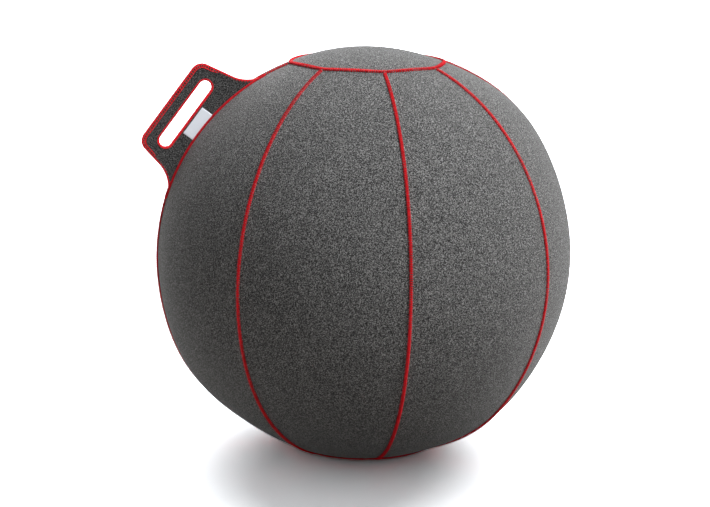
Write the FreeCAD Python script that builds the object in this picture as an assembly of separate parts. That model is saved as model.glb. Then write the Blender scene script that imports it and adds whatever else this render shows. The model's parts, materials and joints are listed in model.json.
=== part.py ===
import FreeCAD, Part
import math
import os

Vector = FreeCAD.Vector

# Balance ball chair: an inflated bladder in a felt cover of eight gores and two
# octagonal end panels, with a felt grab handle sewn into the left seam and a zip
# in the rear one. Lengths are millimetres and angles degrees. +Z is up, the front
# seam faces -Y, the handle is on the -X side, and the origin is the middle of the
# flat patch that the ball stands on.

# Ball and cover
ball_radius = 325.0  # outer face of the felt
felt_thickness = 3.0
gore_count = 8
octagon_angle = 21.65  # from the ball's axis to a corner of an end panel
floor_sink = 12.0  # how far the bottom is pressed flat
floor_blend = 60.0  # rounding between the flat patch and the ball

# Overlock seams: the felt's edges are turned outwards and wrapped in thread
flange_thickness = 2.3  # one felt edge, squeezed by the thread
flange_height = 3.0  # above the felt
thread_thickness = 0.6
thread_gap = 0.2  # between the thread and the felt that it wraps
thread_chamfer = 0.9
seam_end_gap = 0.4  # between the threads of seams that meet

# Bladder, valve and base ring
bladder_wall = 1.2
ring_thickness = 3.0
ring_width = 30.0
ring_edge_gap = 2.8  # inside the rim of the flat patch
ring_chamfer = 0.8
ring_gap = 0.3  # to the bottom panel and to the bladder
valve_polar = 112.0
valve_around = 196.0
valve_neck_radius = 11.0
valve_flange_width = 6.0
valve_flange_thickness = 2.5
valve_socket_length = 10.0
valve_socket_wall = 2.0
valve_bore_radius = 4.5
valve_gap = 0.3
plug_head_radius = 7.5
plug_head_thickness = 1.4
plug_taper = 0.8

# Handle, drawn in the plane of the left seam
handle_around = 270.0
handle_polar = 53.3  # direction that the handle points in
handle_shift = -13.0  # its middle, along the seam from that direction
handle_reach = 67.3  # outer edge above the felt
handle_half_width = 76.5  # at the outer edge
handle_side_slope = 11.5
handle_corner_radius = 18.0
handle_foot_radius = 55.0  # hollow curve from the side into the ball
slot_reach = 35.4  # slot's middle above the felt
slot_length = 121.0
slot_width = 20.0
fold_reach = 8.0  # straight line above the felt that the handle folds about
fold_gap = 0.3
edge_band = 8.5  # red edging seen on the handle's faces
slot_band = 5.5
fold_edge_gap = 3.6  # the edging starts this far above the fold line
foot_edge_gap = 0.4  # between the handle's edging and the seam below it
label_length = 49.0
label_height = 9.4
label_thickness = 0.5
label_shift = 1.5  # its middle, along the seam from the handle's middle
label_slot_gap = 0.3  # below the slot's edging
label_gap = 0.1

# Zip in the rear seam
zip_around = 180.0
zip_top_polar = 74.0
zip_bottom_polar = 145.0
zip_opening = 9.0  # between the felt edges
tape_width = 14.0
tape_thickness = 0.7
tape_overrun = 4.0  # past each end of the opening
tape_gap = 0.6
coil_width = 2.4
coil_height = 2.0
coil_gap = 0.2  # between a coil and its tape
stop_length = 4.0
stop_height = 2.4
slider_length = 13.0
slider_overhang = 0.5  # of its plates past the coils
slider_plate = 1.0
slider_gap = 0.3
slider_post_width = 1.0
slider_post_length = 4.0
ear_thickness = 1.1
ear_radius = 2.0
ear_height = 3.0  # pull's pivot above the slider's plate
pin_radius = 0.9
pin_gap = 0.2
pull_length = 24.0
pull_width = 6.4
pull_neck_width = 3.4
pull_neck_length = 6.0
pull_thickness = 1.4
pull_window_length = 9.0
pull_window_width = 3.0
pull_end_bar = 3.0  # below the window

# Places and sizes that follow from those above
gore_step = 360.0 / gore_count
centre_height = ball_radius - floor_sink
felt_inside = ball_radius - felt_thickness
felt_middle = ball_radius - felt_thickness / 2
flange_top = ball_radius + flange_height
thread_foot = ball_radius + thread_gap
thread_inner_top = flange_top + thread_gap
thread_top = thread_inner_top + thread_thickness
thread_inner_half = flange_thickness + thread_gap
thread_outer_half = thread_inner_half + thread_thickness
flat_radius = math.sqrt((ball_radius - floor_blend) ** 2 - (centre_height - floor_blend) ** 2)
far_outside = 2 * ball_radius  # past everything that a cutting shape has to reach
mitre_overrun = 1.0  # angle by which an edge's bar runs past its corners before it is cut


def alongSurface(length):
    """Angle that a length along the ball covers."""
    return math.degrees(length / ball_radius)


seam_clear = thread_outer_half / math.cos(math.radians(gore_step / 2)) + seam_end_gap
seam_top_polar = octagon_angle + alongSurface(seam_clear)
seam_bottom_polar = 180.0 - seam_top_polar

tape_outside = felt_inside - tape_gap
tape_inside = tape_outside - tape_thickness
zip_half_gap = slider_post_width / 2 + slider_gap
coil_foot = tape_outside + coil_gap
coil_top = coil_foot + coil_height
coil_outer_half = zip_half_gap + coil_width
slider_half_width = coil_outer_half + slider_overhang
slider_foot = tape_inside - slider_gap - slider_plate
slider_top = coil_top + slider_gap + slider_plate
bladder_radius = slider_foot - slider_gap
slider_polar = zip_bottom_polar - alongSurface(stop_length + slider_gap + slider_length / 2)
pivot_radius = slider_top + ear_height
pull_hang = 180.0 - slider_polar  # from the outward direction to straight down

handle_half_thickness = felt_thickness
fold_x = ball_radius + fold_reach
root_top_x = fold_x - handle_half_thickness - fold_gap
outer_edge_x = ball_radius + handle_reach
slot_x = ball_radius + slot_reach
handle_thread_half = handle_half_thickness + thread_gap + thread_thickness


# Basic shapes. A seam's own frame has X outwards, Y along the seam and Z sideways

def direction(polar, around):
    """Unit vector at an angle from +Z, turned about Z from -Y towards +X."""
    polar = math.radians(polar)
    around = math.radians(around)
    return Vector(
        math.sin(polar) * math.sin(around),
        -math.sin(polar) * math.cos(around),
        math.cos(polar),
    )


def placed(shape, outward, along):
    """Move a shape from a seam's own frame to the ball."""
    side = outward.cross(along)
    turn = FreeCAD.Placement(Vector(0, 0, 0), FreeCAD.Rotation(outward, along, side, "XYZ"))
    result = shape.copy()
    result.Placement = turn.multiply(shape.Placement)
    return result


def onMeridian(shape, polar, around):
    return placed(shape, direction(polar, around), direction(polar + 90, around))


def polygon(points):
    return Part.Face(Part.makePolygon(points + [points[0]]))


def bent(section, start, sweep):
    """Turn a section that stands in XZ about the ball's centre, along Y."""
    turned = section.copy()
    turned.rotate(Vector(0, 0, 0), Vector(0, 0, 1), start)
    return turned.revolve(Vector(0, 0, 0), Vector(0, 0, 1), sweep)


def arcBar(inner, outer, side_from, side_to, start, sweep):
    """Bar of square section that follows the ball."""
    section = polygon([
        Vector(inner, 0, side_from),
        Vector(outer, 0, side_from),
        Vector(outer, 0, side_to),
        Vector(inner, 0, side_to),
    ])
    return bent(section, start, sweep)


def box(x_from, x_to, y_from, y_to, z_from, z_to):
    corner = Vector(x_from, y_from, z_from)
    return Part.makeBox(x_to - x_from, y_to - y_from, z_to - z_from, corner)


def ballSolid(radius, floor_level, blend):
    """Ball about the origin, pressed flat at a level above the floor."""
    floor_z = floor_level - centre_height
    blend_z = floor_z + blend
    blend_x = math.sqrt((radius - blend) ** 2 - blend_z**2)
    leave = math.degrees(math.atan2(blend_x, blend_z))

    def onBall(angle):
        angle = math.radians(angle)
        return Vector(radius * math.sin(angle), 0, radius * math.cos(angle))

    def onBlend(angle):
        angle = math.radians(angle)
        return Vector(blend_x + blend * math.sin(angle), 0, blend_z + blend * math.cos(angle))

    edges = [
        Part.Arc(onBall(0), onBall(leave / 2), onBall(leave)).toShape(),
        Part.Arc(onBlend(leave), onBlend((leave + 180) / 2), onBlend(180)).toShape(),
        Part.makeLine(onBlend(180), Vector(0, 0, floor_z)),
        Part.makeLine(Vector(0, 0, floor_z), onBall(0)),
    ]
    return Part.Face(Part.Wire(edges)).revolve(Vector(0, 0, 0), Vector(0, 0, 1), 360)


def wedge(corners, middle):
    """Cone from the ball's centre through corner directions, with flat sides."""
    far = [corner * (far_outside / corner.dot(middle)) for corner in corners]
    centre = Vector(0, 0, 0)
    faces = [polygon(far)]
    for index in range(len(far)):
        faces.append(polygon([centre, far[index], far[(index + 1) % len(far)]]))
    return Part.makeSolid(Part.makeShell(faces))


# Cover

def octagonCorner(index, end):
    """Corner of the top panel for end +1, of the bottom one for end -1."""
    polar = octagon_angle if end > 0 else 180.0 - octagon_angle
    return direction(polar, index * gore_step)


def octagonEdgeBar(section_maker, index, end, overrun):
    """Shape that follows one edge of an end panel. Its +Z side faces the top."""
    start = octagonCorner(index, end)
    finish = octagonCorner(index + 1, end)
    side = start.cross(finish).normalize()
    sweep = math.degrees(start.getAngle(finish))
    return placed(section_maker(-overrun, sweep + 2 * overrun), start, side.cross(start))


def edgeFlange(index, end, side):
    """Turned-up felt along one edge of an end panel, on one side of it."""

    def bar(start, sweep):
        low, high = sorted((0.0, side * flange_thickness))
        return arcBar(felt_middle, flange_top, low, high, start, sweep)

    return octagonEdgeBar(bar, index, end, mitre_overrun)


def meridianFlange(around, side, polar_from, polar_to, set_back=0.0):
    """Turned-up felt along a meridian, on one side of it."""
    low, high = sorted((side * set_back, side * (set_back + flange_thickness)))
    bar = arcBar(felt_middle, flange_top, low, high, 0.0, polar_to - polar_from)
    return onMeridian(bar, polar_from, around)


def seamRuns(around):
    """Stretches of a meridian where two gores meet edge to edge."""
    if around == handle_around:
        return [(seam_top_polar, foot_top_polar), (foot_bottom_polar, seam_bottom_polar)]
    if around == zip_around:
        return [(seam_top_polar, zip_top_polar), (zip_bottom_polar, seam_bottom_polar)]
    return [(seam_top_polar, seam_bottom_polar)]


def edgeCut(around, side, set_back, polar_from, polar_to):
    """Takes a gore's edge back from its seam, for the handle or the zip."""
    low, high = sorted((-side * felt_thickness, side * set_back))
    bar = arcBar(felt_inside - felt_thickness, far_outside, low, high, 0.0, polar_to - polar_from)
    return onMeridian(bar, polar_from, around)


def gore(cover, index):
    """Felt panel between two seams, with its edges turned outwards."""
    start = index * gore_step
    corners = [
        octagonCorner(index, 1),
        octagonCorner(index + 1, 1),
        octagonCorner(index + 1, -1),
        octagonCorner(index, -1),
    ]
    region = wedge(corners, direction(90.0, start + gore_step / 2))
    panel = cover.common(region)
    flanges = [edgeFlange(index, 1, -1), edgeFlange(index, -1, 1)]
    for around, side in ((start, 1), (start + gore_step, -1)):
        for polar_from, polar_to in seamRuns(around):
            flanges.append(meridianFlange(around, side, polar_from, polar_to))
        if around == handle_around:
            foot = (foot_top_polar, foot_bottom_polar)
            panel = panel.cut(edgeCut(around, side, handle_half_thickness, *foot))
            flanges.append(meridianFlange(around, side, *foot, handle_half_thickness))
        if around == zip_around:
            panel = panel.cut(edgeCut(around, side, zip_opening / 2, zip_top_polar, zip_bottom_polar))
    return panel.fuse([flange.common(region) for flange in flanges]).removeSplitter()


def endPanel(cover, end):
    """Octagonal felt panel at the top or the bottom of the ball."""
    corners = [octagonCorner(index, end) for index in range(gore_count)]
    region = wedge(corners, Vector(0, 0, end))
    flanges = [edgeFlange(index, end, end) for index in range(gore_count)]
    panel = cover.common(region)
    return panel.fuse([flange.common(region) for flange in flanges]).removeSplitter()


# Overlock thread

def threadWrap(start, sweep):
    """Thread round both turned-up edges, a U in section."""
    shoulder = thread_top - thread_chamfer
    section = polygon([
        Vector(thread_foot, 0, -thread_outer_half),
        Vector(shoulder, 0, -thread_outer_half),
        Vector(thread_top, 0, -thread_outer_half + thread_chamfer),
        Vector(thread_top, 0, thread_outer_half - thread_chamfer),
        Vector(shoulder, 0, thread_outer_half),
        Vector(thread_foot, 0, thread_outer_half),
        Vector(thread_foot, 0, thread_inner_half),
        Vector(thread_inner_top, 0, thread_inner_half),
        Vector(thread_inner_top, 0, -thread_inner_half),
        Vector(thread_foot, 0, -thread_inner_half),
    ])
    return bent(section, start, sweep)


def goreSeam(around):
    runs = []
    for polar_from, polar_to in seamRuns(around):
        runs.append(onMeridian(threadWrap(0.0, polar_to - polar_from), polar_from, around))
    return runs


def endSeam(end):
    """Thread round an end panel, mitred at its corners."""
    runs = []
    for index in range(gore_count):
        run = octagonEdgeBar(threadWrap, index, end, mitre_overrun)
        start, finish = index * gore_step, (index + 1) * gore_step
        near, far = octagon_angle / 2, octagon_angle * 2
        if end < 0:
            near, far = 180.0 - near, 180.0 - far
        sides = [
            direction(near, start),
            direction(near, finish),
            direction(far, finish),
            direction(far, start),
        ]
        middle = direction((near + far) / 2, (start + finish) / 2)
        runs.append(run.common(wedge(sides, middle)))
    return runs[0].fuse(runs[1:]).removeSplitter()


def handleBaseSeam(side):
    """Thread over the gore's edge where it meets the handle."""
    leg_inside = handle_half_thickness + thread_inner_half
    leg_outside = handle_half_thickness + thread_outer_half
    against_handle = handle_half_thickness + thread_gap
    section = polygon([
        Vector(thread_foot, 0, side * leg_inside),
        Vector(thread_inner_top, 0, side * leg_inside),
        Vector(thread_inner_top, 0, side * against_handle),
        Vector(thread_top, 0, side * against_handle),
        Vector(thread_top, 0, side * (leg_outside - thread_chamfer)),
        Vector(thread_top - thread_chamfer, 0, side * leg_outside),
        Vector(thread_foot, 0, side * leg_outside),
    ])
    run = bent(section, 0.0, foot_bottom_polar - foot_top_polar)
    return onMeridian(run, foot_top_polar, handle_around)


# Handle

def roundedCorner(corner, towards_first, towards_second, radius):
    """Ends and middle of the arc that rounds a corner between two directions."""
    half = towards_first.getAngle(towards_second) / 2
    inward = (towards_first + towards_second).normalize()
    middle = corner + inward * (radius / math.sin(half) - radius)
    reach = radius / math.tan(half)
    return corner + towards_first * reach, middle, corner + towards_second * reach


def handleSide(sign):
    """Points of one side: top corner's arc, foot's arc and its centre."""
    slope = math.radians(handle_side_slope)
    down = Vector(-math.cos(slope), sign * math.sin(slope), 0)
    outward = Vector(math.sin(slope), sign * math.cos(slope), 0)
    corner = Vector(outer_edge_x, handle_shift + sign * handle_half_width, 0)
    top_arc = roundedCorner(corner, Vector(0, -sign, 0), down, handle_corner_radius)
    # The foot's arc touches the side and the ball
    offset = corner + outward * handle_foot_radius
    reach = ball_radius + handle_foot_radius
    along = offset.dot(down)
    travel = -along - math.sqrt(along**2 - offset.dot(offset) + reach**2)
    centre = offset + down * travel
    on_side = centre - outward * handle_foot_radius
    on_ball = centre * (ball_radius / reach)
    half_way = (on_side - centre + on_ball - centre).normalize() * handle_foot_radius
    return top_arc, (on_side, centre + half_way, on_ball), centre


def handleFace():
    """Whole outline, from the felt's inner face to the handle's outer edge."""
    upper_top, upper_foot, _ = handleSide(-1)
    lower_top, lower_foot, _ = handleSide(1)
    upper_end = upper_foot[2] * (felt_inside / ball_radius)
    lower_end = lower_foot[2] * (felt_inside / ball_radius)
    edges = [
        Part.makeLine(upper_end, upper_foot[2]),
        Part.Arc(upper_foot[2], upper_foot[1], upper_foot[0]).toShape(),
        Part.makeLine(upper_foot[0], upper_top[2]),
        Part.Arc(upper_top[2], upper_top[1], upper_top[0]).toShape(),
        Part.makeLine(upper_top[0], lower_top[0]),
        Part.Arc(lower_top[0], lower_top[1], lower_top[2]).toShape(),
        Part.makeLine(lower_top[2], lower_foot[0]),
        Part.Arc(lower_foot[0], lower_foot[1], lower_foot[2]).toShape(),
        Part.makeLine(lower_foot[2], lower_end),
        Part.Arc(lower_end, Vector(felt_inside, 0, 0), upper_end).toShape(),
    ]
    return Part.Face(Part.Wire(edges))


def footPolar(sign):
    """Where the handle's outline runs out on the ball."""
    on_ball = handleSide(sign)[1][2]
    return handle_polar + math.degrees(math.atan2(on_ball.y, on_ball.x))


foot_top_polar = footPolar(-1)
foot_bottom_polar = footPolar(1)


def thick(face, low, high):
    slab = face.copy()
    slab.translate(Vector(0, 0, low))
    return slab.extrude(Vector(0, 0, high - low))


def slotFace(growth):
    """The slot's clear outline, grown by a distance all round."""
    radius = slot_width / 2 + growth
    reach = (slot_length - slot_width) / 2
    middle = Vector(slot_x, handle_shift, 0)
    ends = [middle + Vector(0, -reach, 0), middle + Vector(0, reach, 0)]
    edges = [
        Part.makeLine(ends[0] + Vector(radius, 0, 0), ends[1] + Vector(radius, 0, 0)),
        Part.Arc(
            ends[1] + Vector(radius, 0, 0),
            ends[1] + Vector(0, radius, 0),
            ends[1] - Vector(radius, 0, 0),
        ).toShape(),
        Part.makeLine(ends[1] - Vector(radius, 0, 0), ends[0] - Vector(radius, 0, 0)),
        Part.Arc(
            ends[0] - Vector(radius, 0, 0),
            ends[0] - Vector(0, radius, 0),
            ends[0] + Vector(radius, 0, 0),
        ).toShape(),
    ]
    return Part.Face(Part.Wire(edges))


def onHandle(shape):
    return onMeridian(shape, handle_polar, handle_around)


def handleWide(x_from, x_to, half_thickness):
    """Box across the whole handle between two heights."""
    wide = ball_radius
    return box(x_from, x_to, -wide, wide, -half_thickness, half_thickness)


def handleRoot(side):
    """One felt layer below the fold line, held between the gores' edges."""
    low, high = sorted((0.0, side * handle_half_thickness))
    layer = thick(handleFace(), low, high)
    return onHandle(layer.common(handleWide(0.0, root_top_x, handle_thread_half)))


def handleFlap(side):
    """One felt layer above the fold line, with its lower edge rounded about it."""
    low, high = sorted((0.0, side * handle_half_thickness))
    layer = thick(handleFace(), low, high)
    rounding = Part.makeCylinder(
        handle_half_thickness, 2 * ball_radius, Vector(fold_x, -ball_radius, 0), Vector(0, 1, 0)
    )
    allowed = handleWide(fold_x, far_outside, handle_thread_half).fuse(rounding)
    slot = thick(slotFace(thread_gap + thread_thickness), -handle_thread_half, handle_thread_half)
    return onHandle(layer.common(allowed).cut(slot).removeSplitter())


def handleEdgeSeam():
    """Thread round the flap's free edge, a U in section."""
    outline = handleFace()
    outside = outline.makeOffset2D(thread_gap + thread_thickness)
    felt = outline.makeOffset2D(thread_gap)
    inside = outline.makeOffset2D(-edge_band)
    wrap = thick(outside, -handle_thread_half, handle_thread_half)
    wrap = wrap.cut(thick(inside, -handle_thread_half, handle_thread_half))
    felt_half = handle_half_thickness + thread_gap
    wrap = wrap.cut(thick(felt, -felt_half, felt_half))
    wrap = wrap.common(handleWide(fold_x + fold_edge_gap, far_outside, handle_thread_half))
    return onHandle(wrap)


def slotEdgeSeam():
    """Thread round the slot, a U in section that opens into the felt."""
    felt_half = handle_half_thickness + thread_gap
    wrap = thick(slotFace(slot_band), -handle_thread_half, handle_thread_half)
    wrap = wrap.cut(thick(slotFace(0.0), -handle_thread_half, handle_thread_half))
    room = thick(slotFace(slot_band + thread_thickness), -felt_half, felt_half)
    room = room.cut(thick(slotFace(thread_thickness), -felt_half, felt_half))
    return onHandle(wrap.cut(room))


def handleRootEdge(sign):
    """Thread round the hollow side of the handle's root, between seam and fold."""
    _, foot_arc, centre = handleSide(sign)

    def disc(radius, half_thickness):
        return Part.makeCylinder(
            radius, 2 * half_thickness, centre - Vector(0, 0, half_thickness), Vector(0, 0, 1)
        )

    felt_half = handle_half_thickness + thread_gap
    wrap = disc(handle_foot_radius + edge_band, handle_thread_half)
    wrap = wrap.cut(disc(handle_foot_radius - thread_gap - thread_thickness, handle_thread_half))
    felt = disc(handle_foot_radius + edge_band + thread_thickness, felt_half)
    felt = felt.cut(disc(handle_foot_radius - thread_gap, felt_half))
    wrap = wrap.cut(felt)
    low, high = sorted((handle_shift, foot_arc[2].y))
    wrap = wrap.common(box(0.0, root_top_x, low, high, -handle_thread_half, handle_thread_half))
    ball = Part.makeSphere(thread_top + foot_edge_gap)
    return onHandle(wrap.cut(ball))


def label():
    """Blank woven label on the front of the flap, between fold and slot."""
    low = handle_half_thickness + label_gap
    middle = handle_shift + label_shift
    x_to = slot_x - slot_width / 2 - slot_band - label_slot_gap
    patch = box(
        x_to - label_height,
        x_to,
        middle - label_length / 2,
        middle + label_length / 2,
        low,
        low + label_thickness,
    )
    return onHandle(patch)


# Bladder, valve and base ring

def bladder():
    """Hollow ball, flat where it stands on the ring, with a hole for the valve."""
    floor_level = felt_thickness + ring_gap + ring_thickness + ring_gap
    blend = floor_blend - (ball_radius - bladder_radius)
    outside = ballSolid(bladder_radius, floor_level, blend)
    inside = ballSolid(bladder_radius - bladder_wall, floor_level + bladder_wall, blend - bladder_wall)
    hole = Part.makeCylinder(
        valve_neck_radius + valve_gap,
        far_outside,
        Vector(0, 0, 0),
        direction(valve_polar, valve_around),
    )
    return outside.cut(inside).cut(hole)


def turnedAboutX(points):
    """Solid turned about X from radius and height pairs."""
    section = polygon([Vector(x, radius, 0) for x, radius in points])
    return section.revolve(Vector(0, 0, 0), Vector(1, 0, 0), 360)


valve_face = math.sqrt(bladder_radius**2 - valve_neck_radius**2)
valve_flange_radius = valve_neck_radius + valve_flange_width
valve_flange_face = math.sqrt((bladder_radius - bladder_wall) ** 2 - valve_flange_radius**2) - valve_gap
valve_flange_back = valve_flange_face - valve_flange_thickness
valve_socket_end = valve_flange_back - valve_socket_length
head_seat = valve_face - plug_head_thickness - valve_gap


def valveSeat():
    """Stepped collar welded into the bladder, with the plug's socket inside it."""
    socket_radius = valve_bore_radius + valve_socket_wall
    head_room = plug_head_radius + valve_gap
    seat = turnedAboutX([
        (valve_socket_end, valve_bore_radius),
        (valve_socket_end, socket_radius),
        (valve_flange_back, socket_radius),
        (valve_flange_back, valve_flange_radius),
        (valve_flange_face, valve_flange_radius),
        (valve_flange_face, valve_neck_radius),
        (valve_face, valve_neck_radius),
        (valve_face, head_room),
        (head_seat, head_room),
        (head_seat, valve_bore_radius),
    ])
    return onMeridian(seat, valve_polar, valve_around)


def valvePlug():
    """Push-in plug with a flat head and a tapered stem."""
    stem_radius = valve_bore_radius - valve_gap
    seated = head_seat + valve_gap
    plug = turnedAboutX([
        (valve_socket_end, 0.0),
        (valve_socket_end, stem_radius - plug_taper),
        (seated, stem_radius),
        (seated, plug_head_radius),
        (seated + plug_head_thickness, plug_head_radius),
        (seated + plug_head_thickness, 0.0),
    ])
    return onMeridian(plug, valve_polar, valve_around)


def baseRing():
    """Flat ring between the bottom panel and the bladder."""
    outer = flat_radius - ring_edge_gap
    inner = outer - ring_width
    foot = felt_thickness + ring_gap - centre_height
    top = foot + ring_thickness
    section = polygon([
        Vector(inner + ring_chamfer, 0, foot),
        Vector(outer - ring_chamfer, 0, foot),
        Vector(outer, 0, foot + ring_chamfer),
        Vector(outer, 0, top - ring_chamfer),
        Vector(outer - ring_chamfer, 0, top),
        Vector(inner + ring_chamfer, 0, top),
        Vector(inner, 0, top - ring_chamfer),
        Vector(inner, 0, foot + ring_chamfer),
    ])
    return section.revolve(Vector(0, 0, 0), Vector(0, 0, 1), 360)


# Zip. Seen from behind, +Z of the seam's frame is to the right

def zipBar(inner, outer, side_from, side_to, polar_from, polar_to):
    bar = arcBar(inner, outer, side_from, side_to, 0.0, polar_to - polar_from)
    return onMeridian(bar, polar_from, zip_around)


def zipTape(side):
    low, high = sorted((side * zip_half_gap, side * (zip_half_gap + tape_width)))
    start = zip_top_polar - alongSurface(tape_overrun)
    finish = zip_bottom_polar + alongSurface(tape_overrun)
    return zipBar(tape_inside, tape_outside, low, high, start, finish)


def zipCoil(side):
    low, high = sorted((side * zip_half_gap, side * coil_outer_half))
    ends = alongSurface(stop_length + slider_gap)
    return zipBar(coil_foot, coil_top, low, high, zip_top_polar + ends, zip_bottom_polar - ends)


def zipStop(polar_from):
    """Clip over both coils' ends."""
    finish = polar_from + alongSurface(stop_length)
    return zipBar(coil_foot, coil_foot + stop_height, -coil_outer_half, coil_outer_half, polar_from, finish)


def zipSlider():
    """Two plates joined by a post between the coils, with ears for the pull."""
    sweep = alongSurface(slider_length)

    def bar(inner, outer, half_width, length):
        return arcBar(inner, outer, -half_width, half_width, -sweep / 2, length)

    upper = bar(slider_top - slider_plate, slider_top, slider_half_width, sweep)
    lower = bar(slider_foot, slider_foot + slider_plate, slider_half_width, sweep)
    post_sweep = alongSurface(slider_post_length)
    post = bar(slider_foot, slider_top, slider_post_width / 2, post_sweep)
    ears = []
    ear_inside = pull_neck_width / 2 + slider_gap
    for side in (-1, 1):
        low, high = sorted((side * ear_inside, side * (ear_inside + ear_thickness)))
        ear = box(slider_top - slider_plate / 2, pivot_radius, -ear_radius, ear_radius, low, high)
        end = Part.makeCylinder(ear_radius, ear_thickness, Vector(pivot_radius, 0, low), Vector(0, 0, 1))
        ears.append(ear.fuse(end))
    hole_half = slider_half_width
    hole = Part.makeCylinder(
        pin_radius + pin_gap, 2 * hole_half, Vector(pivot_radius, 0, -hole_half), Vector(0, 0, 1)
    )
    slider = upper.fuse([lower, post] + ears).cut(hole).removeSplitter()
    return onMeridian(slider, slider_polar, zip_around)


def zipPull():
    """Tab that hangs straight down from a pin in the slider's ears."""
    neck_half = pull_neck_width / 2
    pin_half = neck_half + slider_gap + ear_thickness
    half = pull_thickness / 2
    pin = Part.makeCylinder(pin_radius, 2 * pin_half, Vector(0, 0, -pin_half), Vector(0, 0, 1))
    neck = box(0.0, pull_neck_length, -half, half, -neck_half, neck_half)
    tab = box(pull_neck_length, pull_length, -half, half, -pull_width / 2, pull_width / 2)
    window_to = pull_length - pull_end_bar
    window_half = pull_window_width / 2
    window = box(window_to - pull_window_length, window_to, -half, half, -window_half, window_half)
    pull = neck.fuse([pin, tab]).cut(window).removeSplitter()
    pull.rotate(Vector(0, 0, 0), Vector(0, 0, 1), pull_hang)
    pull.translate(Vector(pivot_radius, 0, 0))
    return onMeridian(pull, slider_polar, zip_around)


# Assembly

def makeParts():
    cover = ballSolid(ball_radius, 0.0, floor_blend).cut(
        ballSolid(felt_inside, felt_thickness, floor_blend - felt_thickness)
    )
    parts = {}
    for index in range(gore_count):
        parts["felt_gore_%d" % (index + 1)] = gore(cover, index)
        parts["gore_seam_%d" % (index + 1)] = goreSeam(index * gore_step)
    parts["top_panel"] = endPanel(cover, 1)
    parts["bottom_panel"] = endPanel(cover, -1)
    parts["top_seam"] = endSeam(1)
    parts["bottom_seam"] = endSeam(-1)
    for name, side in (("front", 1), ("back", -1)):
        parts["handle_root_" + name] = handleRoot(side)
        parts["handle_flap_" + name] = handleFlap(side)
        parts["handle_base_seam_" + name] = handleBaseSeam(side)
    parts["handle_root_edge_upper"] = handleRootEdge(-1)
    parts["handle_root_edge_lower"] = handleRootEdge(1)
    parts["handle_edge_seam"] = handleEdgeSeam()
    parts["slot_edge_seam"] = slotEdgeSeam()
    parts["label"] = label()
    parts["bladder"] = bladder()
    parts["valve_seat"] = valveSeat()
    parts["valve_plug"] = valvePlug()
    parts["base_ring"] = baseRing()
    for name, side in (("left", -1), ("right", 1)):
        parts["zip_tape_" + name] = zipTape(side)
        parts["zip_coil_" + name] = zipCoil(side)
    parts["zip_stop_top"] = zipStop(zip_top_polar)
    parts["zip_stop_bottom"] = zipStop(zip_bottom_polar - alongSurface(stop_length))
    parts["zip_slider"] = zipSlider()
    parts["zip_pull"] = zipPull()
    return parts


def export(parts):
    os.makedirs("parts", exist_ok=True)
    for name, shape in parts.items():
        pieces = shape if isinstance(shape, list) else shape.Solids
        whole = pieces[0].copy() if len(pieces) == 1 else Part.makeCompound(pieces)
        whole.translate(Vector(0, 0, centre_height))
        whole.exportStep("parts/%s.step" % name)
        volume = sum(piece.Volume for piece in pieces)
        print("%-24s %d solid(s) %12.1f mm3 valid %s" % (name, len(pieces), volume, whole.isValid()))


export(makeParts())
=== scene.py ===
import bpy
import bmesh
import json
import math
import random
from mathutils import Matrix, Vector, noise


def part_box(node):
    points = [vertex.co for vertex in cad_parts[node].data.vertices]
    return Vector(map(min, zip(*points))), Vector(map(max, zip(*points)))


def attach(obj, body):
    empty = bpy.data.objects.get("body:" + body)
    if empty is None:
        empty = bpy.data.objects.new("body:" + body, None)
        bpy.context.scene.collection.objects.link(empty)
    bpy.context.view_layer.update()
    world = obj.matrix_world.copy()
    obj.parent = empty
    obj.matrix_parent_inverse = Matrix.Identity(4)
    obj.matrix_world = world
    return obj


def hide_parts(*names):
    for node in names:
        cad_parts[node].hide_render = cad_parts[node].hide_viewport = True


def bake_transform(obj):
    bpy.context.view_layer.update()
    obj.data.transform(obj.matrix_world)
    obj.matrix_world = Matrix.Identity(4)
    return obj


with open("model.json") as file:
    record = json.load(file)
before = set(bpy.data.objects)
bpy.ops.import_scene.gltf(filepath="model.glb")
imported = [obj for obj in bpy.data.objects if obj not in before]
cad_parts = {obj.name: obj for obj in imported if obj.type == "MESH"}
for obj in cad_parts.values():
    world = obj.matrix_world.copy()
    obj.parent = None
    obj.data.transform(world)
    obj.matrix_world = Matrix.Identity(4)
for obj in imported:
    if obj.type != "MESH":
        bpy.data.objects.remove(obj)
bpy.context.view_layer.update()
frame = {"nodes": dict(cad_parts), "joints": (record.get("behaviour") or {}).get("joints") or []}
joints = {joint["name"]: joint for joint in frame["joints"]}
print("frame loaded:", len(frame["nodes"]), "nodes")

mm = 0.001

ball = {
    "centre": Vector(joints["zip_travel"]["pos_m"]),
    "gores": 8,
    "octagonAngle": 21.65,   # from the axis to a corner of an end panel
    "floorBlend": 60 * mm,   # rounding between the flat patch and the ball
    "felt": 2.4 * mm,        # drawn thickness of the felt
    "draw": 0.1 * mm,        # how far a seam pulls the felt in
    "drawReach": 5 * mm,
    "ripple": 0.3 * mm,      # puckers along a seam
    "ripplePitch": 21 * mm,
    "unevenness": 0.5 * mm,  # slow rise and fall of the stretched felt
    "unevenPerMetre": 9,
    "openReach": 20 * mm,    # over which a gore's edge stands back for the handle or the zip
    "bow": 1.15,             # degrees that the middle of an end panel's edge swells outwards
    "bowReach": (3.2, 10),   # degrees over which it dies out, towards the panel and away from it
    "lift": 1.6,             # degrees that the bottom panel's edge sits further out than the top's
    # where the filled cover stands off the plain ball: polar, around, reach in degrees, height
    "swells": [(46, 80, 18, 9.0 * mm), (25, 246, 12, -1.5 * mm), (122, 276, 15, 5.4 * mm),
               (140, 292, 8, -1.5 * mm), (137, 50, 17, 5.4 * mm), (92, 84, 26, 1.6 * mm)],
}
ball["radius"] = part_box("top_panel")[1].z - ball["centre"].z
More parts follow.
